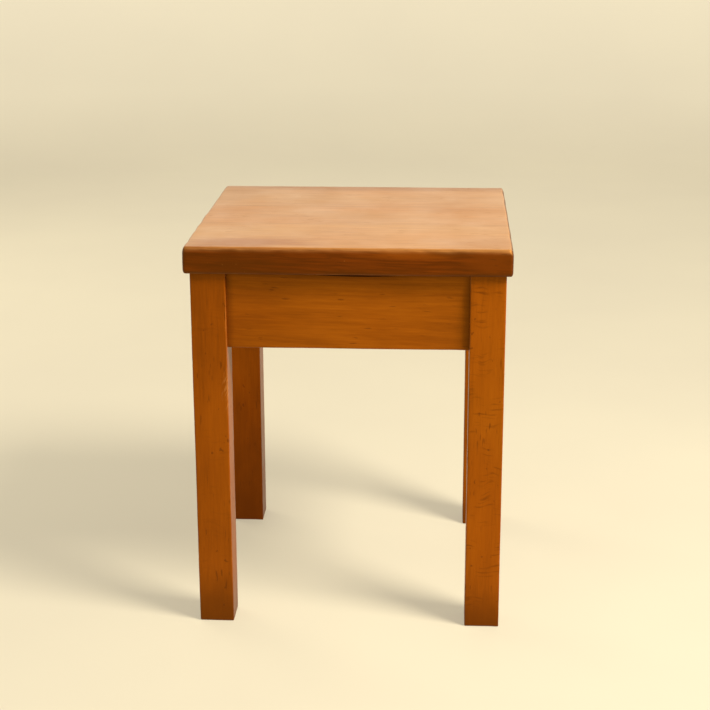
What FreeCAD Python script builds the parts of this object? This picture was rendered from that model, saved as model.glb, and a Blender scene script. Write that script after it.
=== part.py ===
"""Low four-legged wooden stool with a square seat, in millimetres.

The origin is on the floor under the middle of the stool. +X points to the stool's right, +Y to its back
and +Z up. Three edge-glued boards make the seat. Four square legs are joined by four rails, with two glued
dowels at each end of each rail. A block is screwed across each inside corner of the frame, and one
screw goes up through each block and holds the seat down.
"""

import FreeCAD
import Part
import math
import os

Vec = FreeCAD.Vector
X, Y, Z = Vec(1, 0, 0), Vec(0, 1, 0), Vec(0, 0, 1)
tiny = 1e-6

# Driving dimensions.
seat_size = 320.0
seat_thickness = 27.0
seat_top_round = 3.0
seat_under_round = 2.0
seat_corner_round = 2.0
board_widths = {"front": 112.0, "middle": 92.0, "back": 116.0}
stool_height = 397.5
overhang = 6.0  # seat past the outside of the legs, all round

leg_side = 35.0
leg_arris = 1.2
foot_chamfer = 1.0

rail_height = 77.0
rail_thickness = 20.0
rail_setback = 6.0  # rail face behind the leg's outside face
rail_arris = 1.0
# A shallow arc planed out of the front rail's top edge leaves a gap under the seat.
hollow_depth = 3.6
hollow_length = 144.0
hollow_at = 10.0  # its middle, to the right of the stool's middle

dowel_radius = 4.0
dowel_in_leg = 18.0
dowel_in_rail = 22.0
dowel_end_chamfer = 1.0
dowel_end_gap = 1.0  # room for glue past each end of a dowel
dowel_flutes = 8
flute_radius = 0.6
# Heights of the dowels above the rail's lower edge. The two sets that meet in a leg pass each other.
dowel_levels = {"x": (15.0, 51.0), "y": (27.0, 63.0)}

block_reach = 60.0  # along each rail, from the corner where the rails' inside faces would meet
block_blunt = 8.0
block_height = 32.0
block_below_seat = 2.0
block_leg_gap = 0.5
block_chamfer = 1.5

screw_radius = 2.0
screw_core_radius = 1.45
screw_head_radius = 4.0
screw_head_rim = 0.5
screw_slot_width = 1.0
screw_slot_depth = 1.2
screw_pitch = 1.8
screw_tip = 5.0
seat_screw_length = 50.0
seat_screw_at = 20.0  # from the same corner, along both rails
rail_screw_length = 30.0
rail_screw_at = 40.0
rail_screw_in_block = 14.0
counterbore_radius = 4.6

# Worked out from them.
leg_length = stool_height - seat_thickness
frame_half = seat_size / 2 - overhang
leg_centre = frame_half - leg_side / 2
leg_inside = frame_half - leg_side
rail_bottom = leg_length - rail_height
rail_outside = frame_half - rail_setback
rail_inside = rail_outside - rail_thickness
rail_centre = rail_outside - rail_thickness / 2
block_top = leg_length - block_below_seat
block_bottom = block_top - block_height
block_notch = rail_inside - leg_inside + block_leg_gap

CORNERS = {"front_left": (-1, -1), "front_right": (1, -1), "back_left": (-1, 1), "back_right": (1, 1)}
# Each rail: the axis that it runs along, and the side of the stool that it is on.
RAILS = {"front": ("x", -1), "back": ("x", 1), "left": ("y", -1), "right": ("y", 1)}
# Each rail's two ends: their sign along the rail, and the leg that they meet.
RAIL_ENDS = {
    "front": {"left": (-1, "front_left"), "right": (1, "front_right")},
    "back": {"left": (-1, "back_left"), "right": (1, "back_right")},
    "left": {"front": (-1, "front_left"), "back": (1, "back_left")},
    "right": {"front": (-1, "front_right"), "back": (1, "back_right")},
}


def box_between(low, high):
    """A box from its lowest corner to its highest one."""
    size = [b - a for a, b in zip(low, high)]
    return Part.makeBox(*size, Vec(*low))


def edges_at_height(shape, z):
    """The edges that lie in the level plane at z."""
    return [e for e in shape.Edges if all(abs(v.Point.z - z) < tiny for v in e.Vertexes)]


def edges_along(shape, direction):
    """The straight edges that run along a direction."""
    lines = [e for e in shape.Edges if e.Curve.TypeId == "Part::GeomLine"]
    return [e for e in lines if e.Curve.Direction.cross(direction).Length < tiny]


def aim(shape, start, direction):
    """Moves a shape modelled up +Z from the origin, to run from start along direction."""
    moved = shape.copy()
    moved.Placement = FreeCAD.Placement(start, FreeCAD.Rotation(Z, direction))
    return moved


def cut_all(shape, tools):
    for tool in tools:
        shape = shape.cut(tool)
    return shape.removeSplitter()


def solid_of(shape):
    """The one solid in a shape, on its own."""
    if len(shape.Solids) != 1:
        raise ValueError(f"expected one solid, found {len(shape.Solids)}")
    return shape.Solids[0]


# Screws


def wood_screw(length):
    """A slotted countersunk wood screw, its head's flat face at z 0 and its tip at z length. Ring grooves
    of the thread's pitch stand for the thread."""
    cone_end = screw_head_rim + (screw_head_radius - screw_radius)
    thread_start = length * 0.4
    thread_end = length - screw_tip
    turns = int((thread_end - thread_start) / screw_pitch)
    profile = [
        (0, 0),
        (screw_head_radius, 0),
        (screw_head_radius, screw_head_rim),
        (screw_radius, cone_end),
        (screw_radius, thread_start),
    ]
    for turn in range(turns):
        root = thread_start + (turn + 0.5) * screw_pitch
        profile += [(screw_core_radius, root), (screw_radius, root + screw_pitch / 2)]
    profile += [(screw_core_radius, thread_end), (0, length)]
    points = [Vec(r, 0, z) for r, z in profile]
    face = Part.Face(Part.makePolygon(points + [points[0]]))
    body = face.revolve(Vec(0, 0, 0), Z, 360)
    slot = box_between(
        (-screw_head_radius, -screw_slot_width / 2, 0),
        (screw_head_radius, screw_slot_width / 2, screw_slot_depth),
    )
    return body, solid_of(body.cut(slot))


def corner_point(corner, u, v, z):
    """A point given by its distances u and v along X and Y from the corner where the rails' inside faces
    would meet, both towards the middle of the stool."""
    sx, sy = CORNERS[corner]
    return Vec(sx * (rail_inside - u), sy * (rail_inside - v), z)


def seat_screw_place(corner):
    return corner_point(corner, seat_screw_at, seat_screw_at, block_bottom), Z


def rail_screw_places(corner):
    """The screws of one block: into the rail that runs along X, then into the one that runs along Y."""
    sx, sy = CORNERS[corner]
    mid = (block_bottom + block_top) / 2
    into_x_rail = corner_point(corner, rail_screw_at, rail_screw_in_block, mid), Vec(0, sy, 0)
    into_y_rail = corner_point(corner, rail_screw_in_block, rail_screw_at, mid), Vec(sx, 0, 0)
    return [into_x_rail, into_y_rail]


def seat_screw_bodies():
    body, _ = wood_screw(seat_screw_length)
    return [aim(body, *seat_screw_place(corner)) for corner in CORNERS]


def rail_screw_bodies():
    body, _ = wood_screw(rail_screw_length)
    return [aim(body, *place) for corner in CORNERS for place in rail_screw_places(corner)]


# Dowels


def dowel_pin(radius, before, after, chamfer):
    """A pin along +Z from -before to after, with chamfered ends."""
    pin = Part.makeCylinder(radius, before + after, Vec(0, 0, -before))
    return pin.makeChamfer(chamfer, [e for e in pin.Edges if len(e.Vertexes) == 1])


def fluted_dowel():
    """A grooved dowel pin. Its z 0 is where it passes from the leg, below, into the rail."""
    pin = dowel_pin(dowel_radius, dowel_in_leg, dowel_in_rail, dowel_end_chamfer)
    flutes = []
    for k in range(dowel_flutes):
        angle = 2 * math.pi * k / dowel_flutes
        middle = Vec(math.cos(angle), math.sin(angle), 0) * dowel_radius
        flute_foot = middle - Z * (dowel_in_leg + 1)
        flutes.append(Part.makeCylinder(flute_radius, dowel_in_leg + dowel_in_rail + 2, flute_foot))
    return solid_of(cut_all(pin, flutes))


def dowel_places(rail, end):
    """Where each dowel of one joint crosses from leg to rail, and the direction into the rail."""
    axis, side = RAILS[rail]
    sign, _ = RAIL_ENDS[rail][end]
    places = []
    for level in dowel_levels[axis]:
        z = rail_bottom + level
        if axis == "x":
            places.append((Vec(sign * leg_inside, side * rail_centre, z), Vec(-sign, 0, 0)))
        else:
            places.append((Vec(side * rail_centre, sign * leg_inside, z), Vec(0, -sign, 0)))
    return places


def dowel_holes(rail, end):
    hole = Part.makeCylinder(
        dowel_radius,
        dowel_in_leg + dowel_in_rail + 2 * dowel_end_gap,
        Vec(0, 0, -dowel_in_leg - dowel_end_gap),
    )
    return [aim(hole, *place) for place in dowel_places(rail, end)]


# Wooden pieces


def leg(corner):
    """A square leg, drilled for the dowels of the two rails that meet in it."""
    sx, sy = CORNERS[corner]
    half = leg_side / 2
    x, y = sx * leg_centre, sy * leg_centre
    post = box_between((x - half, y - half, 0), (x + half, y + half, leg_length))
    post = post.makeFillet(leg_arris, edges_along(post, Z))
    post = post.makeChamfer(foot_chamfer, edges_at_height(post, 0))
    holes = []
    for name, ends in RAIL_ENDS.items():
        for end, (_, met) in ends.items():
            if met == corner:
                holes += dowel_holes(name, end)
    return solid_of(cut_all(post, holes))


def hollow_cutter():
    """A round bar lying across the front rail, whose underside planes the hollow in its top edge."""
    radius = ((hollow_length / 2) ** 2 + hollow_depth**2) / (2 * hollow_depth)
    centre = Vec(hollow_at, -rail_thickness, leg_length - hollow_depth + radius)
    return Part.makeCylinder(radius, 2 * rail_thickness, centre, Y)


def rail(name, screws):
    """A rail, modelled along X about the middle of its thickness, then turned and moved to its side."""
    axis, side = RAILS[name]
    half = rail_thickness / 2
    bar = box_between((-leg_inside, -half, rail_bottom), (leg_inside, half, leg_length))
    lower = [e for e in edges_along(bar, X) if e.Vertexes[0].Point.z < leg_length - tiny]
    bar = bar.makeFillet(rail_arris, lower)
    if name == "front":
        bar = bar.cut(hollow_cutter())
    if axis == "x":
        bar = bar.translated(Vec(0, side * rail_centre, 0))
    else:
        bar = bar.rotated(Vec(0, 0, 0), Z, 90).translated(Vec(side * rail_centre, 0, 0))
    holes = [hole for end in RAIL_ENDS[name] for hole in dowel_holes(name, end)]
    return solid_of(cut_all(bar, holes + screws))


def corner_block(corner, screws):
    """A block across an inside corner, notched round the leg, with a counterbore for each rail screw. Its
    lower edges are chamfered."""
    reach, blunt, notch = block_reach, block_blunt, block_notch
    outline = [(notch, 0), (reach, 0), (reach, blunt), (blunt, reach), (0, reach), (0, notch)]
    outline.append((notch, notch))
    points = [corner_point(corner, u, v, block_bottom) for u, v in outline]
    face = Part.Face(Part.makePolygon(points + [points[0]]))
    block = face.extrude(Z * block_height)
    block = block.makeChamfer(block_chamfer, edges_at_height(block, block_bottom))
    bore = Part.makeCylinder(counterbore_radius, reach)
    bores = [aim(bore, start, -direction) for start, direction in rail_screw_places(corner)]
    return solid_of(cut_all(block, bores + screws))


def seat_slab():
    """The whole seat with its rounded edges, before it is divided into its boards."""
    half = seat_size / 2
    slab = box_between((-half, -half, leg_length), (half, half, stool_height))
    slab = slab.makeFillet(seat_corner_round, edges_along(slab, Z))
    slab = slab.makeFillet(seat_top_round, edges_at_height(slab, stool_height))
    return slab.makeFillet(seat_under_round, edges_at_height(slab, leg_length))


def seat_boards(screws):
    """The seat's boards by name, from front to back."""
    slab = seat_slab()
    half = seat_size / 2
    boards, y = {}, -half
    for name, width in board_widths.items():
        span = box_between((-half, y, leg_length), (half, y + width, stool_height))
        boards[name] = solid_of(cut_all(slab.common(span), screws))
        y += width
    return boards


def build():
    """Every node of the stool by name, as a list of its solids."""
    seat_screws, rail_screws = seat_screw_bodies(), rail_screw_bodies()
    nodes = {}
    for name, board in seat_boards(seat_screws).items():
        nodes[f"seat_board_{name}"] = [board]
    for corner in CORNERS:
        nodes[f"leg_{corner}"] = [leg(corner)]
    for name in RAILS:
        nodes[f"rail_{name}"] = [rail(name, rail_screws)]
        for end in RAIL_ENDS[name]:
            pins = [aim(fluted_dowel(), *place) for place in dowel_places(name, end)]
            nodes[f"dowels_{name}_rail_{end}"] = pins
    _, seat_screw = wood_screw(seat_screw_length)
    _, rail_screw = wood_screw(rail_screw_length)
    for corner in CORNERS:
        nodes[f"corner_block_{corner}"] = [corner_block(corner, seat_screws + rail_screws)]
        nodes[f"seat_screw_{corner}"] = [aim(seat_screw, *seat_screw_place(corner))]
        nodes[f"block_screws_{corner}"] = [aim(rail_screw, *p) for p in rail_screw_places(corner)]
    return nodes


def main():
    os.makedirs("parts", exist_ok=True)
    for name, solids in build().items():
        for solid in solids:
            if not solid.isValid() or solid.Volume <= 0:
                raise ValueError(f"{name} has a bad solid")
        shape = solids[0] if len(solids) == 1 else Part.makeCompound(solids)
        shape.exportStep(f"parts/{name}.step")
        volume = sum(solid.Volume for solid in solids) / 1000
        print(f"{name}: {len(solids)} solid(s), {volume:.1f} cm3")


main()
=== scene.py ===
"""The looks of a low varnished wooden stool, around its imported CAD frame. Lengths are in metres.

+X is the stool's right, +Y its back and +Z up, with the origin on the floor under its middle. Each board,
leg and rail is rebuilt as a fine mesh with softened, slightly worn edges. The blocks, dowels and screws
keep their CAD shapes. Every material is made of nodes that read the place on the object.
"""

import math

import bpy
import numpy as np
from mathutils import Matrix, Vector


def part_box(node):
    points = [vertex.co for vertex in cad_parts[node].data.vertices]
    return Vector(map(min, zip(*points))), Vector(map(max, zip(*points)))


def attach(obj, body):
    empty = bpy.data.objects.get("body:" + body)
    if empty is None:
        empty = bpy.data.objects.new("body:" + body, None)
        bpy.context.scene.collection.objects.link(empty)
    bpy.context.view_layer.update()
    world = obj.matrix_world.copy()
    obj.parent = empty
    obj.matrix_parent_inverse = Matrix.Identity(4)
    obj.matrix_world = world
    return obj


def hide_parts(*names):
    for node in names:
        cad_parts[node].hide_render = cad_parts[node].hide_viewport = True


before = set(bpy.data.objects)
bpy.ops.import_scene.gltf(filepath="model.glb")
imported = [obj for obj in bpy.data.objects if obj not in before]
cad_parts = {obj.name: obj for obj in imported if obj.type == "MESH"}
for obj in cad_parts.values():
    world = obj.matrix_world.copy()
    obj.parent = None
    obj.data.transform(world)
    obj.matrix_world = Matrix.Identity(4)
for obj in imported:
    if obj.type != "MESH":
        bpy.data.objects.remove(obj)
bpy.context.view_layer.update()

MM = 0.001

# Shapes

SEAT_TOP_ROUND = 3.0 * MM
SEAT_TOP_DROP = 7.2 * MM  # how far down the edge the worn top arris reaches
SEAT_UNDER_ROUND = 2.2 * MM
SEAT_CORNER_REACH = 12 * MM  # how near a corner the seat's edges begin to round more
SEAT_CORNER_GAIN = 0.25
LEG_ROUND = 1.3 * MM
RAIL_ROUND = 1.1 * MM

SEAT_STEP = 2.5 * MM  # between mesh lines on the seat
LENGTH_STEP = 2.5 * MM  # between mesh lines along a leg or rail
ACROSS_STEP = 4.0 * MM  # between them across its faces
ARRIS_ANGLES = (45, 30, 15, 0)  # where mesh lines lie on half of a rounded edge
ARRIS_MARGIN = 1.7  # how far from the edge the next line lies, in roundings
SHARP_ANGLE = 50  # in degrees: a sharper edge isn't shaded smooth

# The hollow planed in the front rail's top edge.
HOLLOW_DEPTH = 3.6 * MM
HOLLOW_LENGTH = 144.0 * MM
HOLLOW_AT = 10.0 * MM
HOLLOW_REACH = 9.0 * MM  # how far down the rail's face the mesh gives way to it

EDGE_FADE = 2.2 * MM  # how fast the wear mask falls off away from an edge
JOINT_REACH = 12 * MM  # how near another piece the waves and nicks die away
LONG_WAVES = 45 * MM  # in the rounding of an edge
SHORT_WAVES = 13 * MM
FACE_WAVES = 110 * MM
NICK_REACH = (2.0, 4.5)  # in millimetres
NICK_DEPTH = (0.05, 0.22)

# A piece uses its seed and the three after it. The boards share one, so that their worn edges meet.
SEAT_SEED = 11
LEG_SEED = 40
RAIL_SEED = 90
NEXT_SEED = 10

TINY = 1e-9


def wobble(points, wavelength, seed):
    """Smooth noise between about -1 and 1 at each point, from waves in seeded random directions."""
    rng = np.random.default_rng(seed)
    total = np.zeros(len(points))
    waves = 6
    for _ in range(waves):
        direction = rng.normal(size=3)
        direction /= np.linalg.norm(direction)
        pace = 2 * math.pi / (wavelength * rng.uniform(0.7, 1.5))
        total += np.sin(points @ direction * pace + rng.uniform(0, 2 * math.pi))
    return total / math.sqrt(waves)


def stops(low, high, radius, step, square):
    """Mesh lines from low to high: close together over each rounded end, then about a step apart. square
    names the ends, 0 or 1, that aren't rounded."""
    bends = [radius * (1 - math.tan(math.radians(a))) for a in ARRIS_ANGLES] + [radius * ARRIS_MARGIN]
    start = [low] if 0 in square else [low + b for b in bends]
    finish = [high] if 1 in square else [high - b for b in reversed(bends)]
    count = max(1, round((finish[0] - start[-1]) / step))
    middle = np.linspace(start[-1], finish[0], count + 1)[1:-1]
    return np.array([*start, *middle, *finish])


def box_skin(lines):
    """The points and four-sided faces of a box's skin, on a lattice with these lines along each axis."""
    counts = [len(line) for line in lines]
    index, points, faces = {}, [], []

    def point(place):
        if place not in index:
            index[place] = len(points)
            points.append([line[k] for line, k in zip(lines, place)])
        return index[place]

    for axis in range(3):
        a, b = (axis + 1) % 3, (axis + 2) % 3
        for end in (0, counts[axis] - 1):
            for i in range(counts[a] - 1):
                for j in range(counts[b] - 1):
                    ring = []
                    for di, dj in ((0, 0), (1, 0), (1, 1), (0, 1)):
                        place = [0, 0, 0]
                        place[axis], place[a], place[b] = end, i + di, j + dj
                        ring.append(point(tuple(place)))
                    faces.append(ring if end else ring[::-1])
    return np.array(points), faces


def nicks(points, outward, low, high, count, seed, square):
    """Small dents pressed into the box's edges, and fewer into its faces."""
    rng = np.random.default_rng(seed)
    free = [a for a in range(3) if not square[a]]
    moved = points.copy()
    for k in range(count):
        centre = rng.uniform(low, high)
        pinned = rng.choice(free, size=2 if k % 4 else 1, replace=False) if len(free) > 1 else free
        for a in pinned:
            centre[a] = (low, high)[rng.integers(2)][a]
        reach = rng.uniform(*NICK_REACH) * MM
        depth = rng.uniform(*NICK_DEPTH) * MM
        near = np.clip(1 - np.linalg.norm(points - centre, axis=1) / reach, 0, 1)
        moved -= outward * (depth * near**2 * (3 - 2 * near))[:, None]
    return moved


def timber(name, low, high, radius, steps, seed, square, dents, bow=0.12, wear=0.12):
    """A board or bar with rounded, slightly worn edges, as a mesh object.

    radius gives the edges' rounding along each axis at each point. steps is the spacing of mesh lines
    along each axis, square the ends of each axis that meet another piece, dents the number of nicks, bow
    the height in millimetres of the faces' gentle waves and wear how uneven the rounding is."""
    low, high = np.array(low), np.array(high)
    largest = radius(np.array([[0, 0, high[2]]]))[0]
    lines = [stops(low[a], high[a], largest[a], steps[a], square[a]) for a in range(3)]
    flat, faces = box_skin(lines)

    uneven = 1 + wear * wobble(flat, LONG_WAVES, seed) + 0.6 * wear * wobble(flat, SHORT_WAVES, seed + 1)
    rounding = radius(flat) * np.clip(uneven, 0.5, 1.6)[:, None]
    inset_low, inset_high = (np.array([float(end not in ends) for ends in square]) for end in (0, 1))
    inner = np.clip(flat, low + rounding * inset_low, high - rounding * inset_high)
    offset = (flat - inner) / rounding
    length = np.linalg.norm(offset, axis=1, keepdims=True)
    direction = np.divide(offset, length, out=np.zeros_like(offset), where=length > TINY)
    # Points inside a square face keep their share of the way to its rounded corners, so none fall together.
    share = np.abs(offset).max(axis=1, keepdims=True)
    points = np.where(length > TINY, inner + direction * rounding * share, flat)
    outward = direction / rounding
    outward /= np.maximum(np.linalg.norm(outward, axis=1, keepdims=True), TINY)

    # Faces that meet another piece stay flat, and so does what is beside them.
    gap = np.full(len(flat), 1.0)
    depths = []
    for a in range(3):
        for end, limit in enumerate((low[a], high[a])):
            depth = np.abs(flat[:, a] - limit)
            if end in square[a]:
                gap = np.minimum(gap, depth / JOINT_REACH)
            else:
                depths.append(depth)
    ease = np.clip(gap, 0, 1)[:, None]
    waves = 0.5 + 0.5 * wobble(flat, FACE_WAVES, seed + 2)
    points -= outward * (bow * MM * waves)[:, None] * ease
    points = nicks(points, outward * ease, low, high, dents, seed + 3, square)
    edge = np.exp(-np.sort(depths, axis=0)[1] / EDGE_FADE)
    return mesh_object(name, points, faces, {"edge": edge, "joint": 1 - ease[:, 0]})


def mesh_object(name, points, faces, attributes=None):
    """A smoothly shaded object with these points, faces and named values at the points."""
    mesh = bpy.data.meshes.new(name)
    mesh.from_pydata(points.tolist(), [], faces)
    for label, values in (attributes or {}).items():
        mesh.attributes.new(label, "FLOAT", "POINT").data.foreach_set("value", values.astype(np.float32))
    mesh.shade_smooth()
    mesh.set_sharp_from_angle(angle=math.radians(SHARP_ANGLE))
    made = bpy.data.objects.new(name, mesh)
    bpy.context.scene.collection.objects.link(made)
    return made


def even(radius):
    """The same rounding along every axis at every point."""
    return lambda points: np.full((len(points), 3), radius)


def seat_radius(points):
    """Larger at the seat's top edge than under it, and a little larger again at its corners."""
    low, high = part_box("seat_board_front")
    rise = np.clip((points[:, 2] - low.z) / (high.z - low.z), 0, 1)
    near_side = np.clip(1 - (high.x - np.abs(points[:, 0])) / SEAT_CORNER_REACH, 0, 1)
    near_end = np.clip(1 - (-low.y - np.abs(points[:, 1])) / SEAT_CORNER_REACH, 0, 1)
    inward = SEAT_UNDER_ROUND + (SEAT_TOP_ROUND - SEAT_UNDER_ROUND) * rise
    downward = SEAT_UNDER_ROUND + (SEAT_TOP_DROP - SEAT_UNDER_ROUND) * rise
    gain = 1 + SEAT_CORNER_GAIN * near_side * near_end
    return np.stack([inward, inward, downward], axis=1) * gain[:, None]


def make_seat_boards():
    boards = {}
    for side, joined in {"front": (1,), "middle": (0, 1), "back": (0,)}.items():
        node = f"seat_board_{side}"
        boards[node] = timber(
            f"{side}_board", *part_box(node), seat_radius, (SEAT_STEP,) * 3, SEAT_SEED, ((), joined, ()),
            dents=8 if side == "middle" else 16,
        )
    return boards


def make_legs():
    legs = {}
    for k, corner in enumerate(("front_left", "front_right", "back_left", "back_right")):
        node = f"leg_{corner}"
        legs[node] = timber(
            f"{corner}_leg", *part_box(node), even(LEG_ROUND), (ACROSS_STEP, ACROSS_STEP, LENGTH_STEP),
            LEG_SEED + NEXT_SEED * k, ((), (), (1,)), dents=24, wear=0.2,
        )
    return legs


def hollow_out(rail, top):
    """Lowers the rail's top edge along a shallow arc."""
    radius = ((HOLLOW_LENGTH / 2) ** 2 + HOLLOW_DEPTH**2) / (2 * HOLLOW_DEPTH)
    for vertex in rail.data.vertices:
        away = vertex.co.x - HOLLOW_AT
        drop = math.sqrt(max(radius**2 - away**2, 0)) - (radius - HOLLOW_DEPTH)
        near_top = max(0, 1 - (top - vertex.co.z) / HOLLOW_REACH)
        vertex.co.z -= max(drop, 0) * near_top


def make_rails():
    rails = {}
    for k, side in enumerate(("front", "back", "left", "right")):
        node = f"rail_{side}"
        along = 0 if side in ("front", "back") else 1
        steps, square = [ACROSS_STEP] * 3, [(), (), (1,)]
        steps[along], square[along] = LENGTH_STEP, (0, 1)
        rails[node] = timber(
            f"{side}_rail", *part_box(node), even(RAIL_ROUND), steps, RAIL_SEED + NEXT_SEED * k, square,
            dents=10, bow=0.2,
        )
    hollow_out(rails["rail_front"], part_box("rail_front")[1].z)
    return rails


# Materials


class Nodes:
    """The nodes of one material, and short ways to add more."""

    def __init__(self, name):
        self.material = bpy.data.materials.new(name)
        self.material.use_nodes = True
        self.tree = self.material.node_tree
        self.shader = self.tree.nodes["Principled BSDF"]

    def feed(self, socket, value):
        if isinstance(value, bpy.types.NodeSocket):
            self.tree.links.new(value, socket)
        else:
            socket.default_value = value

    def add(self, kind, inputs=None, **settings):
        node = self.tree.nodes.new("ShaderNode" + kind)
        for key, value in settings.items():
            setattr(node, key, value)
        for key, value in (inputs or {}).items():
            self.feed(node.inputs[key], value)
        return node

    def object_place(self):
        return self.add("TexCoord").outputs["Object"]

    def attribute(self, name):
        return self.add("Attribute", attribute_name=name).outputs["Fac"]

    def maths(self, operation, *values):
        return self.add("Math", dict(enumerate(values)), operation=operation).outputs[0]

    def vector(self, operation, *values):
        return self.add("VectorMath", dict(enumerate(values)), operation=operation).outputs["Vector"]

    def length(self, value):
        return self.add("VectorMath", {0: value}, operation="LENGTH").outputs["Value"]

    def joined(self, *values):
        return self.add("CombineXYZ", dict(enumerate(values))).outputs[0]

    def between(self, value, start, finish, low=0.0, high=1.0):
        """Goes smoothly from low to high as value goes from start to finish."""
        inputs = {"Value": value, "From Min": start, "From Max": finish, "To Min": low, "To Max": high}
        return self.add("MapRange", inputs, interpolation_type="SMOOTHSTEP").outputs["Result"]

    def noise(self, place, scale, detail=1.0, roughness=0.5, output="Factor"):
        stretched = self.vector("MULTIPLY", place, scale)
        inputs = {"Vector": stretched, "Scale": 1.0, "Detail": detail, "Roughness": roughness}
        return self.add("TexNoise", inputs).outputs[0 if output == "Factor" else "Color"]

    def mix(self, factor, a, b, blend="MIX"):
        return self.add("Mix", {0: factor, 6: a, 7: b}, data_type="RGBA", blend_type=blend).outputs[2]

    def ramp(self, value, colours):
        """The colour at value, from pairs of a position and a colour."""
        node = self.add("ValToRGB", {"Fac": value})
        elements = node.color_ramp.elements
        while len(elements) < len(colours):
            elements.new(0.5)
        for element, (position, colour) in zip(elements, colours):
            element.position, element.color = position, (*colour, 1)
        return node.outputs["Color"]

    def curve(self, value, points, reach):
        """The height of a line through these points, for a value from 0 to reach."""
        return self.ramp(self.maths("DIVIDE", value, reach), [(at / reach, (y, y, y)) for at, y in points])

    def weighted(self, *pairs):
        """The sum of each value times its weight."""
        total = 0.0
        for value, weight in pairs:
            total = self.maths("MULTIPLY_ADD", value, weight, total)
        return total

    def bump(self, height, strength, distance):
        node = self.add("Bump", {"Height": height, "Strength": strength, "Distance": distance})
        self.feed(self.shader.inputs["Normal"], node.outputs["Normal"])


def tinted(colour, tint):
    return tuple(c * t for c, t in zip(colour, tint))


def shaded(colours, tint):
    return tuple(tinted(c, tint) for c in colours)


SEED_STEP = (0.37, 0.61, 0.83)  # how far a seed of 1 shifts the noise, so that no two pieces look alike
ACROSS_AND_ALONG = {"x": ("Y", "Z", "X"), "y": ("X", "Z", "Y"), "z": ("X", "Y", "Z")}
GRAIN_SLANT = 0.03
TONES = (0.1, 0.5, 0.9)  # where the dark, middle and light colour of a wood lie
STAIN_TINT = (0.56, 0.36, 0.3)  # what turns the dark colour into that of the flecks, strokes, seam lines and darkening near the floor, and of the dirty wood and painted shade beside joints
# Pale wood where the varnish is worn; along the edges it is also a painted highlight.
PALE_WEAR_AND_HIGHLIGHT_COLOUR = (0.40, 0.17, 0.045, 1)
REDDENING = (1.0, 0.9, 0.75, 1)
# Scales of the noise behind each mark: the first two across the grain, the third along it.
SWEEP = (5, 5, 1.6)
WAVER = (38, 38, 9)
MOTTLE = (16, 16, 9)
BROAD_STREAKS = (130, 130, 6)
THIN_STREAKS = (430, 430, 17)
FINE_FIBRES = (1300, 1300, 60)
RAGGED_EDGES = (180, 180, 22)
REDDER_AREAS = (9, 9, 5)
FLECKS = (560, 560, 75)
FLECKED_AREAS = (24, 24, 24)
DOTS = (260, 260, 200)
STROKES = (60, 60, 380)
STROKE_BENDS = (60, 60, 20)
STROKED_AREAS = (45, 45, 40)
RUBBING_AND_HIGHLIGHT = (70, 70, 26)
GRIME_AND_SHADE = (50, 50, 50)
# Scales along X, Y and Z.
PORES = (1000, 1000, 1000)
SCRATCHES = (900, 300, 75)
CHIPS = (420, 420, 240)
CHIPPED_AREAS = (28, 28, 28)
FOOT_DARKENING = (40, 40, 25)
SMEARS = (22, 22, 22)


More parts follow.
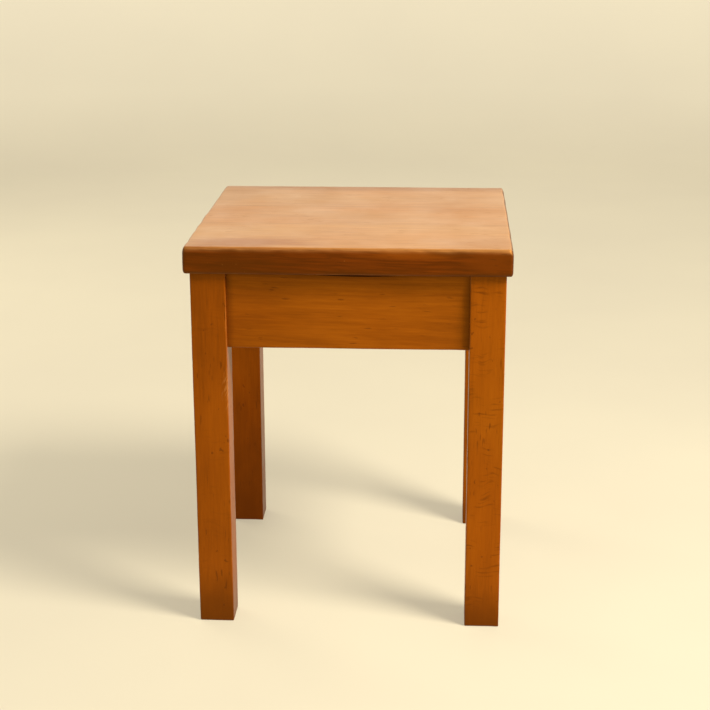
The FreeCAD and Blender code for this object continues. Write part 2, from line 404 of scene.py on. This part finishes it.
class Wood(Nodes):
    """Varnished fine-grained hardwood.

    grain is the axis that its fibres run along, pith the middle of its growth rings in the plane across
    them and ring their spacing. The methods that take a colour give it back with one more mark on it."""

    def __init__(self, name, grain, seed, pith, ring):
        super().__init__(name)
        self.grain = grain
        self.place = self.object_place()
        xyz = self.add("SeparateXYZ", {0: self.place}).outputs
        self.x, self.y, self.z = xyz
        self.u, self.v, self.w = (xyz[k] for k in ACROSS_AND_ALONG[grain])
        slant = self.maths("MULTIPLY_ADD", self.w, GRAIN_SLANT, self.v)
        fibre_place = self.joined(self.u, slant, self.w)
        self.seeded = self.vector("ADD", fibre_place, tuple(step * seed for step in SEED_STEP))
        normal = self.add("SeparateXYZ", {0: self.add("NewGeometry").outputs["Normal"]}).outputs
        self.upward = normal["Z"]
        self.end_facing = self.maths("ABSOLUTE", normal[grain.upper()])
        self.joint = self.attribute("joint")
        self.add_grain(fibre_place, pith, ring)

    def drift(self, scale, detail, reach):
        """A smooth shift across the fibres, up to about half of reach each way."""
        noise = self.noise(self.seeded, scale, detail, output="Color")
        return self.vector("MULTIPLY", self.vector("SUBTRACT", noise, (0.5, 0.5, 0.5)), (reach, reach, 0))

    def add_grain(self, fibre_place, pith, ring):
        """The dark late wood of each ring, and the mottling, streaks and fibres."""
        sweep = self.drift(SWEEP, 1, 0.05)
        waver = self.drift(WAVER, 2, 0.0045)
        bent = self.vector("ADD", self.vector("ADD", fibre_place, sweep), waver)
        from_pith = self.vector("MULTIPLY", self.vector("SUBTRACT", bent, (*pith, 0)), (1, 1, 0))
        rings = self.maths("DIVIDE", self.length(from_pith), ring)
        part_way = self.maths("FRACT", rings)
        white_noise = self.add("TexWhiteNoise", {"W": self.maths("FLOOR", rings)}, noise_dimensions="1D")
        strength = self.between(white_noise.outputs["Value"], 0, 1, 0.1, 1.0)
        late = self.maths("MULTIPLY", self.between(part_way, 0.35, 0.9), self.between(part_way, 1.0, 0.92))
        self.late = self.maths("MULTIPLY", late, strength)
        self.mottle = self.noise(self.seeded, MOTTLE, 3)
        self.broad = self.noise(self.seeded, BROAD_STREAKS, 2, 0.6)
        self.thin = self.noise(self.vector("ADD", self.seeded, waver), THIN_STREAKS, 2, 0.6)
        self.fine = self.noise(self.seeded, FINE_FIBRES, 1, 0.6)

    def tone(self, figure):
        """About 0.5, lower where the wood is darker. figure gives the contrast of each kind of marking."""
        rings, *others = figure
        marks = zip((self.late, self.mottle, self.broad, self.thin, self.fine), (-rings, *others))
        return self.maths("ADD", self.weighted(*marks), 0.5 + 0.3 * rings - sum(others) / 2)

    def away(self, centre, sizes):
        """How far a point lies from centre, in these half-sizes."""
        return self.length(self.vector("DIVIDE", self.vector("SUBTRACT", self.place, centre), sizes))

    def patched(self, colour, patches):
        """Soft spots of other colours, with ragged edges."""
        if not patches:
            return colour
        ragged = self.maths("MULTIPLY_ADD", self.noise(self.seeded, RAGGED_EDGES, 3, 0.6), 1.6, -0.8)
        for centre, sizes, patch_colour, strength in patches:
            away = self.maths("ADD", self.away(centre, sizes), ragged)
            colour = self.mix(self.between(away, 1.2, 0.3, 0, strength), colour, (*patch_colour, 1))
        return colour

    def reddened(self, colour):
        """Redder in broad areas."""
        areas = self.between(self.noise(self.seeded, REDDER_AREAS, 2), 0.35, 0.65)
        return self.mix(areas, colour, self.mix(1.0, colour, REDDENING, "MULTIPLY"))

    def scuffed(self, colour, centre, sizes, strength):
        """Pale slanting scratches around centre."""
        tilted = self.joined(self.maths("MULTIPLY_ADD", self.z, -0.35, self.x), self.y, self.z)
        scratch = self.between(self.noise(tilted, SCRATCHES, 2, 0.6), 0.5, 0.62)
        here = self.between(self.away(centre, sizes), 1.0, 0.3, 0, strength)
        return self.mix(self.maths("MULTIPLY", scratch, here), colour, PALE_WEAR_AND_HIGHLIGHT_COLOUR)

    def flecked(self, colour, stain_and_shade):
        """Small dark flecks, fainter on a top face, with round dots among them on a leg."""
        here = self.between(self.noise(self.seeded, FLECKED_AREAS, 0), 0.45, 0.6)
        fleck = self.between(self.noise(self.seeded, FLECKS, 0), 0.72, 0.82)
        self.fleck = self.maths("MULTIPLY", fleck, here)
        if self.grain == "z":
            dot = self.between(self.noise(self.seeded, DOTS, 0), 0.80, 0.83)
            self.fleck = self.maths("MAXIMUM", self.fleck, dot)
        strength = self.between(self.upward, 0.15, 0.95, 0.55, 0.25)
        return self.mix(self.maths("MULTIPLY", self.fleck, strength), colour, stain_and_shade)

    def stroked(self, colour, stain_and_shade, strength):
        """Short dark marks across the grain."""
        bent = self.maths("MULTIPLY_ADD", self.noise(self.seeded, STROKE_BENDS, 1), 0.010, self.w)
        marks = self.between(self.noise(self.joined(self.u, self.v, bent), STROKES, 1), 0.52, 0.78)
        here = self.between(self.noise(self.seeded, STROKED_AREAS, 0), 0.42, 0.62)
        marks = self.maths("MULTIPLY", marks, here)
        return self.mix(self.maths("MULTIPLY", marks, strength), colour, stain_and_shade)

    def end_grained(self, colour, dark, middle):
        """Rings and pores where the fibres are cut across."""
        pores = self.noise(self.place, PORES, 2, 0.6)
        cut = self.maths("ADD", self.weighted((self.late, -0.55), (pores, 1.3), (self.mottle, 0.6)), -0.25)
        cut = self.ramp(cut, [(0.1, tinted(dark, (0.5, 0.45, 0.45))), (0.9, tinted(middle, (1.05, 1, 1)))])
        return self.mix(self.maths("MULTIPLY", self.between(self.end_facing, 0.55, 0.9), 0.85), colour, cut)

    def rubbed_and_highlit(self, colour, strength, top_only):
        """Paler wood along the edges, partly wear and partly a painted highlight where light catches the
        rounded edges. With top_only it fades below the top and at the cut ends.
        """
        uneven = self.maths("MULTIPLY_ADD", self.noise(self.seeded, RUBBING_AND_HIGHLIGHT, 4, 0.7), 1.5, -0.75)
        self.rubbing_and_highlight = self.between(self.maths("ADD", self.attribute("edge"), uneven), 0.74, 1.15)
        if top_only:
            below = self.between(self.upward, 0.2, 0.7, 0.25, 1.0)
            at_ends = self.between(self.end_facing, 0.15, 0.55, 1.0, 0.25)
            self.rubbing_and_highlight = self.maths("MULTIPLY", self.maths("MULTIPLY", self.rubbing_and_highlight, below), at_ends)
        return self.mix(self.maths("MULTIPLY", self.rubbing_and_highlight, strength), colour, PALE_WEAR_AND_HIGHLIGHT_COLOUR)

    def seamed(self, colour, stain_and_shade, strength):
        """A fine dark line along a joint."""
        return self.mix(self.between(self.joint, 0.955, 0.985, 0, strength), colour, stain_and_shade)

    def chipped(self, colour, strength):
        """Small pale chips in a few areas."""
        chip = self.between(self.noise(self.place, CHIPS, 1), 0.72, 0.80, 0, strength)
        here = self.between(self.noise(self.place, CHIPPED_AREAS, 0), 0.48, 0.62)
        return self.mix(self.maths("MULTIPLY", chip, here), colour, PALE_WEAR_AND_HIGHLIGHT_COLOUR)

    def grimed_and_shaded(self, colour, stain_and_shade, strength):
        """Darker beside a joint: partly dirty wood, partly painted shade where the seat shades the tops of the
        rails and legs and the legs shade the rails' ends.
        """
        beside = self.maths("ADD", self.joint, -0.25)
        beside = self.maths("MULTIPLY_ADD", self.noise(self.seeded, GRIME_AND_SHADE, 2), 0.5, beside)
        return self.mix(self.between(beside, 0.3, 1.0, 0, strength), colour, stain_and_shade)

    def darkened_low(self, colour, stain_and_shade, strength, height):
        """Darker towards the floor, up to about height."""
        uneven = self.maths("MULTIPLY_ADD", self.noise(self.place, FOOT_DARKENING, 2), 0.5 * height, self.z)
        darkening = self.between(uneven, 1.15 * height, 0.2 * height, 0, strength)
        return self.mix(darkening, colour, stain_and_shade)

    def varnish(self, bare_under):
        """The gloss and the relief of the marks. With bare_under, faces that point down are dull."""
        smear = self.noise(self.place, SMEARS, 3)
        marks = self.weighted((smear, 0.22), (self.fine, 0.1), (self.rubbing_and_highlight, 0.12), (self.fleck, 0.1))
        roughness = self.maths("ADD", marks, 0.24)
        if bare_under:
            roughness = self.maths("ADD", roughness, self.between(self.upward, -0.5, -0.9, 0, 0.5))
        self.feed(self.shader.inputs["Roughness"], roughness)
        relief = self.weighted((self.fine, 0.35), (self.thin, 0.3), (self.late, -0.15), (self.fleck, -0.8))
        self.bump(relief, 0.35, 0.00025)
        self.shader.inputs["IOR"].default_value = 1.6
        self.shader.inputs["Specular Tint"].default_value = (1.0, 0.45, 0.04, 1)


def wood(name, grain, seed, pith, ring, colours, figure, patches=(), top_and_sheen_colours=None, top_patches=(),
         scuff=None, strokes=0.0, worn=0.5, seam=0.0, chips=0.0, grime_and_shade=0.0, foot=None, bare_under=False):
    """A material of varnished wood. colours are its dark, middle and light, and top_and_sheen_colours, where
    given, those of faces that point up, paler partly in their own colour and partly by a painted reflection of
    the bright surroundings in the varnish. figure gives the contrast of the rings, the mottling, the broad
    streaks, the thin ones and the fibres.

    patches and top_patches are soft spots of another colour: centre, half-sizes, colour and strength.
    scuff is a scratched spot: centre, half-sizes and strength. strokes, worn, seam, chips and grime_and_shade
    are the strengths of the marks across the grain, the paler edges, partly wear and partly a painted
    highlight, the lines along joints, the chips and the darkening beside joints, partly dirty wood and partly
    painted shade. foot is the strength and height of the darkening towards the floor."""
    n = Wood(name, grain, seed, pith, ring)
    dark, middle, _ = colours
    stain_and_shade = (*tinted(dark, STAIN_TINT), 1)
    tone = n.tone(figure)
    colour = n.patched(n.ramp(tone, list(zip(TONES, colours))), patches)
    if top_and_sheen_colours:
        on_top_with_sheen = n.patched(n.ramp(tone, list(zip(TONES, top_and_sheen_colours))), top_patches)
        # Faces that point up take the top colours, which hold a painted reflection of the bright surroundings.
        colour = n.mix(n.between(n.upward, 0.02, 0.95), colour, on_top_with_sheen)
    colour = n.reddened(colour)
    if scuff:
        colour = n.scuffed(colour, *scuff)
    colour = n.flecked(colour, stain_and_shade)
    if strokes:
        colour = n.stroked(colour, stain_and_shade, strokes)
    colour = n.end_grained(colour, dark, middle)
    # Paler edges: wear, and a painted highlight.
    colour = n.rubbed_and_highlit(colour, worn, top_only=bool(top_and_sheen_colours))
    if seam:
        colour = n.seamed(colour, stain_and_shade, seam)
    if chips:
        colour = n.chipped(colour, chips)
    # Darker beside joints: dirty wood and painted shade.
    if grime_and_shade:
        colour = n.grimed_and_shaded(colour, stain_and_shade, grime_and_shade)
    # Darker towards the floor.
    if foot:
        colour = n.darkened_low(colour, stain_and_shade, *foot)
    n.feed(n.shader.inputs["Base Color"], colour)
    n.varnish(bare_under)
    return n.material


def bare_wood(name, seed, grain, dark, light):
    """Unvarnished sawn wood."""
    n = Nodes(name)
    scale = {"x": (12, 400, 400), "y": (400, 12, 400), "z": (400, 400, 12)}[grain]
    seeded = n.vector("ADD", n.object_place(), tuple(step * seed for step in SEED_STEP))
    streak = n.noise(seeded, scale, 3, 0.6)
    blotch = n.noise(seeded, (25, 25, 25), 2)
    saw_marks = n.noise(seeded, (30, 30, 900), 1)
    tone = n.weighted((streak, 0.9), (blotch, 0.5), (saw_marks, 0.3))
    n.feed(n.shader.inputs["Base Color"], n.ramp(tone, [(0.55, dark), (1.0, light)]))
    n.feed(n.shader.inputs["Roughness"], n.maths("MULTIPLY_ADD", blotch, 0.2, 0.65))
    n.bump(n.weighted((streak, 0.6), (saw_marks, 0.5)), 0.5, 0.0004)
    return n.material


def screw_steel():
    """Dull steel with brown tarnish in patches."""
    n = Nodes("screw_steel_tarnished")
    place = n.object_place()
    spots = n.between(n.noise(place, (420, 420, 420), 3), 0.42, 0.62)
    n.feed(n.shader.inputs["Base Color"], n.mix(spots, (0.42, 0.40, 0.37, 1), (0.16, 0.08, 0.04, 1)))
    n.feed(n.shader.inputs["Roughness"], n.maths("MULTIPLY_ADD", spots, 0.35, 0.35))
    n.feed(n.shader.inputs["Metallic"], n.maths("MULTIPLY_ADD", spots, -0.6, 1.0))
    n.bump(n.noise(place, (1500, 1500, 1500), 2), 0.2, 0.0001)
    return n.material


# The dark, middle and light colour of each wood.
RAIL_COLOURS = ((0.110, 0.0205, 0.0008), (0.206, 0.0480, 0.0015), (0.30, 0.079, 0.0030))
LEG_COLOURS = ((0.097, 0.0195, 0.0007), (0.190, 0.0435, 0.0011), (0.26, 0.066, 0.0022))
SEAT_COLOURS = ((0.028, 0.0032, 0.0003), (0.063, 0.0085, 0.0005), (0.130, 0.0215, 0.0012))
# The seat's top colours are paler partly in their own right and partly as a painted reflection of the bright
# surroundings in the varnish.
SEAT_TOP_AND_SHEEN_COLOURS = ((0.25, 0.105, 0.030), (0.34, 0.160, 0.053), (0.415, 0.207, 0.076))
# The contrast of the rings, the mottling, the broad streaks, the thin ones and the fibres.
LEG_FIGURE = (0.05, 0.75, 0.25, 0.35, 0.25)
RAIL_FIGURE = (0.08, 0.65, 0.27, 0.52, 0.25)
SEAT_FIGURE = (0.06, 0.6, 0.5, 0.95, 0.25)

RAIL_RING = 3.3 * MM
LEG_RING = 2.6 * MM


def seat_board_wood(side, seed, pith, ring, tint, top_and_sheen_tint, patches=(), top_patches=()):
    return wood(
        f"{side}_board_wood", "x", seed, pith, ring, shaded(SEAT_COLOURS, tint), SEAT_FIGURE,
        top_and_sheen_colours=shaded(SEAT_TOP_AND_SHEEN_COLOURS, top_and_sheen_tint), patches=patches, top_patches=top_patches,
        worn=0.6, seam=0.6, chips=0.3, bare_under=True,
    )


def seat_materials():
    low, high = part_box("seat_board_front")
    front, top = low.y, high.z
    edge_patches = [
        ((0.060, front, top - 0.005), (0.050, 0.010, 0.007), (0.22, 0.052, 0.003), 0.45),
        ((0.096, front, top - 0.0022), (0.024, 0.006, 0.0048), (0.050, 0.0072, 0.0004), 0.7),
        ((-0.115, front, top - 0.016), (0.07, 0.006, 0.012), (0.05, 0.009, 0.0005), 0.4),
        ((0.140, front, top - 0.012), (0.030, 0.010, 0.014), (0.12, 0.021, 0.001), 0.6),
    ]
    front_patches = [
        ((-0.10, front + 0.022, top), (0.085, 0.026, 0.01), (0.20, 0.062, 0.018), 0.75),
        ((0.12, front + 0.03, top), (0.06, 0.03, 0.01), (0.25, 0.11, 0.038), 0.55),
    ]
    back_patches = [((0.0, 0.152, top), (0.28, 0.020, 0.02), (0.17, 0.055, 0.010), 0.6)]
    return {
        "seat_board_front": seat_board_wood(
            "front", 3, (-0.10, top - 0.052), 2.7 * MM, (1, 1, 1), (0.97, 0.985, 0.98),
            patches=edge_patches, top_patches=front_patches,
        ),
        "seat_board_middle": seat_board_wood(
            "middle", 8, (0.01, top - 0.09), 3.1 * MM, (1.04, 1.08, 1.1), (0.93, 0.90, 0.87)
        ),
        "seat_board_back": seat_board_wood(
            "back", 14, (0.13, top - 0.07), 2.9 * MM, (0.98, 0.95, 0.95), (0.91, 0.90, 0.88),
            top_patches=back_patches,
        ),
    }


def rail_materials():
    grain_and_pith = {
        "front": ("x", (-0.20, 0.315)),
        "back": ("x", (0.20, 0.35)),
        "left": ("y", (-0.19, 0.33)),
        "right": ("y", (0.20, 0.30)),
    }
    return {
        f"rail_{side}": wood(
            f"{side}_rail_wood", grain, 20 + 5 * k, pith, RAIL_RING, RAIL_COLOURS, RAIL_FIGURE,
            worn=0.3, grime_and_shade=0.5,
        )
        for k, (side, (grain, pith)) in enumerate(grain_and_pith.items())
    }


def leg_wood(corner, seed, pith, tint, **marks):
    return wood(
        f"{corner}_leg_wood", "z", seed, pith, LEG_RING, shaded(LEG_COLOURS, tint), LEG_FIGURE,
        grime_and_shade=0.3, **marks,
    )


def leg_materials():
    low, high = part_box("leg_front_left")
    scuff = ((high.x, low.y, 0.250), (0.008, 0.008, 0.028), 0.55)
    legs = {
        "front_left": dict(
            pith=(-0.19, -0.10), tint=(1.0, 1.0, 0.9), strokes=0.15, foot=(0.75, 0.08), scuff=scuff
        ),
        "front_right": dict(pith=(0.16, -0.20), tint=(1.19, 1.21, 1.0), strokes=0.6, foot=(0.82, 0.07)),
        "back_left": dict(pith=(-0.10, 0.19), tint=(1.6, 1.42, 1.0), strokes=0.15, foot=(0.9, 0.25)),
        "back_right": dict(pith=(0.19, 0.09), tint=(1.05, 1.03, 1.0), strokes=0.2, foot=(0.7, 0.07)),
    }
    return {
        f"leg_{corner}": leg_wood(corner, 50 + 7 * k, **leg)
        for k, (corner, leg) in enumerate(legs.items())
    }


def dress(thing, material):
    """Gives thing this material alone."""
    thing.data.materials.clear()
    thing.data.materials.append(material)


def finish_wood():
    """Puts each rebuilt wooden piece in place of its CAD node."""
    materials = {**seat_materials(), **rail_materials(), **leg_materials()}
    for node, piece in {**make_seat_boards(), **make_legs(), **make_rails()}.items():
        dress(piece, materials[node])
        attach(piece, "root")
        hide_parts(node)


def finish_cad_nodes():
    """Gives the blocks, dowels and screws their materials."""
    block = bare_wood("block_pine", 5, "z", (0.40, 0.22, 0.10), (0.66, 0.45, 0.25))
    dowel = bare_wood("dowel_beech", 9, "x", (0.50, 0.32, 0.17), (0.70, 0.52, 0.33))
    steel = screw_steel()
    for name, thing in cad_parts.items():
        if name.startswith("corner_block"):
            material = block
        elif name.startswith("dowels"):
            material = dowel
        elif "screw" in name:
            material = steel
        else:
            continue
        for slot in thing.material_slots:
            slot.material = material


# Stage

STAGE_RADIUS = 3.4
STAGE_COVE = 0.9
STAGE_HEIGHT = 2.6
STAGE_SIDES = 96
COVE_STEPS = 12
FIRST_RING = 1.0  # the radius of the floor's middle disc
# How brightly the backdrop is lit from behind at each height.
BACKDROP_GLOW = ((0.0, 0.38), (0.15, 0.50), (0.45, 0.60), (1.0, 0.62), (2.6, 0.5))


def make_stage():
    """A plain pale floor that curves up into a round backdrop."""
    profile = [(0.0, 0.0), (FIRST_RING, 0.0), (STAGE_RADIUS - STAGE_COVE, 0.0)]
    for k in range(1, COVE_STEPS + 1):
        angle = math.radians(90 * k / COVE_STEPS)
        profile.append((STAGE_RADIUS - STAGE_COVE * (1 - math.sin(angle)), STAGE_COVE * (1 - math.cos(angle))))
    profile.append((STAGE_RADIUS, STAGE_HEIGHT))
    points, faces = [], []
    for radius, height in profile:
        for k in range(STAGE_SIDES):
            angle = 2 * math.pi * k / STAGE_SIDES
            points.append([radius * math.cos(angle), radius * math.sin(angle), height])
    for ring in range(len(profile) - 1):
        for k in range(STAGE_SIDES):
            a, b = ring * STAGE_SIDES + k, ring * STAGE_SIDES + (k + 1) % STAGE_SIDES
            outer = [b + STAGE_SIDES, b] if ring else [b + STAGE_SIDES]
            faces.append([a, a + STAGE_SIDES, *outer])
    floor = mesh_object("floor_and_backdrop", np.array(points), faces)

    n = Nodes("pale_backdrop")
    place = n.object_place()
    cloudy = n.noise(place, (2.2, 2.2, 2.2), 3)
    paler = n.ramp(cloudy, [(0.3, (0.31, 0.28, 0.20)), (0.7, (0.34, 0.31, 0.22))])
    n.feed(n.shader.inputs["Base Color"], paler)
    n.feed(n.shader.inputs["Roughness"], n.maths("MULTIPLY_ADD", cloudy, 0.1, 0.6))
    n.shader.inputs["Specular IOR Level"].default_value = 0.2
    height = n.add("SeparateXYZ", {0: place}).outputs["Z"]
    n.shader.inputs["Emission Color"].default_value = (1.0, 0.90, 0.68, 1)
    n.feed(n.shader.inputs["Emission Strength"], n.curve(height, BACKDROP_GLOW, STAGE_HEIGHT))
    dress(floor, n.material)


def add_area_light(name, place, target, size, watts, colour):
    data = bpy.data.lights.new(name, "AREA")
    data.shape, data.energy, data.color = "ELLIPSE", watts, colour
    data.size, data.size_y = size
    light = bpy.data.objects.new(name, data)
    light.location = place
    light.visible_camera = False
    light.rotation_euler = (Vector(target) - Vector(place)).to_track_quat("-Z", "Y").to_euler()
    bpy.context.scene.collection.objects.link(light)


def light_scene():
    world = bpy.data.worlds.new("studio")
    world.use_nodes = True
    background = world.node_tree.nodes["Background"]
    background.inputs["Color"].default_value = (1.0, 0.95, 0.88, 1)
    background.inputs["Strength"].default_value = 0.2
    bpy.context.scene.world = world
    add_area_light("key", (1.37, -0.82, 1.8), (0, 0, 0.3), (0.85, 0.85), 97, (1.0, 0.93, 0.84))
    add_area_light("rear_softbox", (-0.1, 2.6, 1.25), (0, 0, 0.4), (2.8, 1.4), 8, (1.0, 0.90, 0.74))
    add_area_light("back_fill", (-1.5, 1.2, 0.95), (0, 0, 0.25), (1.2, 1.2), 14, (1.0, 0.92, 0.78))


CAMERA_PLACE = (0.0948, -1.6764, 0.7442)
CAMERA_TURN = (90 - 16.61, -0.15, 3.29)  # tilt up from straight down, roll and swing, in degrees
CAMERA_LENS = 82.24  # in millimetres, as the sensor's width is
SENSOR_WIDTH = 36


def add_camera():
    data = bpy.data.cameras.new("camera")
    data.lens, data.sensor_width = CAMERA_LENS, SENSOR_WIDTH
    camera = bpy.data.objects.new("camera", data)
    tilt, roll, swing = (math.radians(a) for a in CAMERA_TURN)
    turn = Matrix.Rotation(swing, 4, "Z") @ Matrix.Rotation(tilt, 4, "X") @ Matrix.Rotation(roll, 4, "Z")
    camera.matrix_world = Matrix.Translation(CAMERA_PLACE) @ turn
    bpy.context.scene.collection.objects.link(camera)
    bpy.context.scene.camera = camera


add_camera()
light_scene()
make_stage()
finish_wood()
finish_cad_nodes()
bpy.context.scene.view_settings.view_transform = "Standard"
